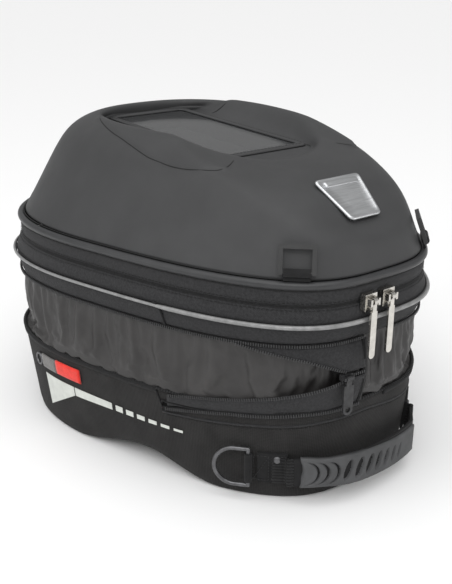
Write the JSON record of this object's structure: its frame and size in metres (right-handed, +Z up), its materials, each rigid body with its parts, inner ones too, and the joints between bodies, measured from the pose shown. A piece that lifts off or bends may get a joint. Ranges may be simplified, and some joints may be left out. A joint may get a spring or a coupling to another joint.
{
  "type": "tank bag",
  "caption": "Expandable motorcycle tank bag with a moulded lid, phone window, zipped compartment, gathered gusset, carry handle and quick-lock base.",
  "frame": {"origin": "centre of the footprint, on the ground under the moulded base", "axes": "+Z up, +Y along the bag's length towards the fuel tank's front, away from the rider and the handle; +X across"},
  "size_m": [0.3026, 0.3635, 0.2485],
  "materials": {
    "moulded_skin": "fine-grained matt charcoal skin over moulded foam",
    "piping": "satin dark grey covered piping",
    "band_fabric": "finely woven black polyester",
    "zip_tape": "black coil zip tape",
    "window_trim": "stitched matt edging",
    "clear_film": "clear flexible film",
    "lining": "black lining fabric",
    "badge_metal": "satin silver plate",
    "webbing": "black ribbed webbing",
    "black_plastic": "moulded black plastic",
    "reflective_cord": "grey reflective piping",
    "zip_metal": "polished nickel",
    "gusset_nylon": "thin semi-gloss nylon, gathered",
    "dark_metal": "black painted zinc",
    "base_fabric": "ribbed heavy nylon over a moulded base",
    "reflective_film": "pale grey reflective film",
    "tab_red": "red woven tab",
    "ring_metal": "dark grey metal",
    "grip_rubber": "dark grey moulded rubber",
    "steel": "plain steel"
  },
  "bodies": {
    "base": {"base_shell": "base_fabric", "base_board": "black_plastic", "base_binding": "webbing", "expansion_gusset": "gusset_nylon", "expansion_flap_lower": "gusset_nylon", "expansion_zip_lower": "zip_tape", "reflective_trim_left": "reflective_film", "reflective_trim_right": "reflective_film", "side_tab": "tab_red", "side_tab_ring": "ring_metal", "anchor_patch_left": "webbing", "anchor_patch_right": "webbing", "anchor_rivets": "ring_metal", "lock_housing": "black_plastic", "backing_ring": "steel", "housing_screws": "steel"},
    "upper": {"upper_band": "band_fabric", "reflective_piping": "reflective_cord", "main_zip_lower": "zip_tape", "hinge_panel": "band_fabric", "expansion_zip_upper": "zip_tape", "expansion_flap_upper": "gusset_nylon"},
    "lid": {"lid_shell": "moulded_skin", "lid_piping": "piping", "lid_band": "band_fabric", "main_zip_upper": "zip_tape", "window_frame": "window_trim", "window_film": "clear_film", "phone_pocket": "lining", "badge_plate": "badge_metal", "loop_tab_left": "webbing", "loop_tab_right": "webbing"},
    "pocket_flap": {"pocket_flap": "lining"},
    "strap_loop_left": {"strap_loop_left": "black_plastic"},
    "strap_loop_right": {"strap_loop_right": "black_plastic"},
    "main_slider_left": {"main_slider_left": "zip_metal"},
    "main_slider_right": {"main_slider_right": "zip_metal"},
    "main_pull_left": {"main_pull_left": "zip_metal"},
    "main_pull_right": {"main_pull_right": "zip_metal"},
    "expansion_slider": {"expansion_slider": "dark_metal"},
    "expansion_pull": {"expansion_pull": "dark_metal"},
    "d_ring_left": {"d_ring_left": "ring_metal"},
    "d_ring_right": {"d_ring_right": "ring_metal"},
    "handle": {"handle_strap": "webbing", "handle_grip": "grip_rubber"},
    "latch": {"lock_bolt": "steel", "release_pull": "webbing"}
  },
  "joints": [
    {"name": "expansion", "type": "slide", "parent": "base", "child": "upper", "axis": [0, 0, -1], "range_m": [0, 0.046], "deforming": ["expansion_gusset", "expansion_flap_lower", "expansion_flap_upper"]},
    {"name": "lid_hinge", "type": "hinge", "parent": "upper", "child": "lid", "pos_m": [0, 0.1771, 0.155], "axis": [-1, 0, 0], "range_deg": [0, 100]},
    {"name": "main_zip_left", "type": "slide", "parent": "upper", "child": "main_slider_left", "axis": [-1, 0, 0], "range_m": [0, 0.018]},
    {"name": "main_zip_right", "type": "slide", "parent": "upper", "child": "main_slider_right", "axis": [1, 0, 0], "range_m": [0, 0.018]},
    {"name": "main_pull_left_swing", "type": "hinge", "parent": "main_slider_left", "child": "main_pull_left", "pos_m": [-0.017, -0.1794, 0.1565], "axis": [-1, 0, 0], "range_deg": [0, 150]},
    {"name": "main_pull_right_swing", "type": "hinge", "parent": "main_slider_right", "child": "main_pull_right", "pos_m": [0, -0.1794, 0.1565], "axis": [-1, 0, 0], "range_deg": [0, 150]},
    {"name": "expansion_zip", "type": "slide", "parent": "base", "child": "expansion_slider", "axis": [0, 0, -1], "range_m": [0, 0.023]},
    {"name": "expansion_pull_swing", "type": "hinge", "parent": "expansion_slider", "child": "expansion_pull", "pos_m": [-0.03153, -0.17435, 0.1015], "axis": [-0.987, 0.161, 0], "range_deg": [0, 120]},
    {"name": "strap_loop_left_swing", "type": "hinge", "parent": "lid", "child": "strap_loop_left", "pos_m": [-0.06256, -0.15244, 0.1788], "axis": [0.7226, -0.6913, 0], "range_deg": [0, 100]},
    {"name": "strap_loop_right_swing", "type": "hinge", "parent": "lid", "child": "strap_loop_right", "pos_m": [0.06256, -0.15244, 0.1788], "axis": [0.7226, 0.6913, 0], "range_deg": [0, 100]},
    {"name": "d_ring_left_swing", "type": "hinge", "parent": "base", "child": "d_ring_left", "pos_m": [-0.08315, -0.12982, 0.028], "axis": [0, 0, 1], "range_deg": [0, 120]},
    {"name": "d_ring_right_swing", "type": "hinge", "parent": "base", "child": "d_ring_right", "pos_m": [0.08315, -0.12982, 0.028], "axis": [0, 0, -1], "range_deg": [0, 120]},
    {"name": "handle_swing", "type": "hinge", "parent": "base", "child": "handle", "pos_m": [0, -0.1544, 0.028], "axis": [-1, 0, 0], "range_deg": [-21, 9]},
    {"name": "pocket_flap_hinge", "type": "hinge", "parent": "lid", "child": "pocket_flap", "pos_m": [-0.0384, 0.03917, 0.21781], "axis": [0, 0.9995, 0.0332], "range_deg": [0, 100]},
    {"name": "lock_bolt_slide", "type": "slide", "parent": "base", "child": "latch", "axis": [0, 1, 0], "range_m": [0, 0.005]}
  ],
  "couplings": [
    {"joint": "expansion_zip", "follows": "expansion", "ratio": 0.5}
  ]
}
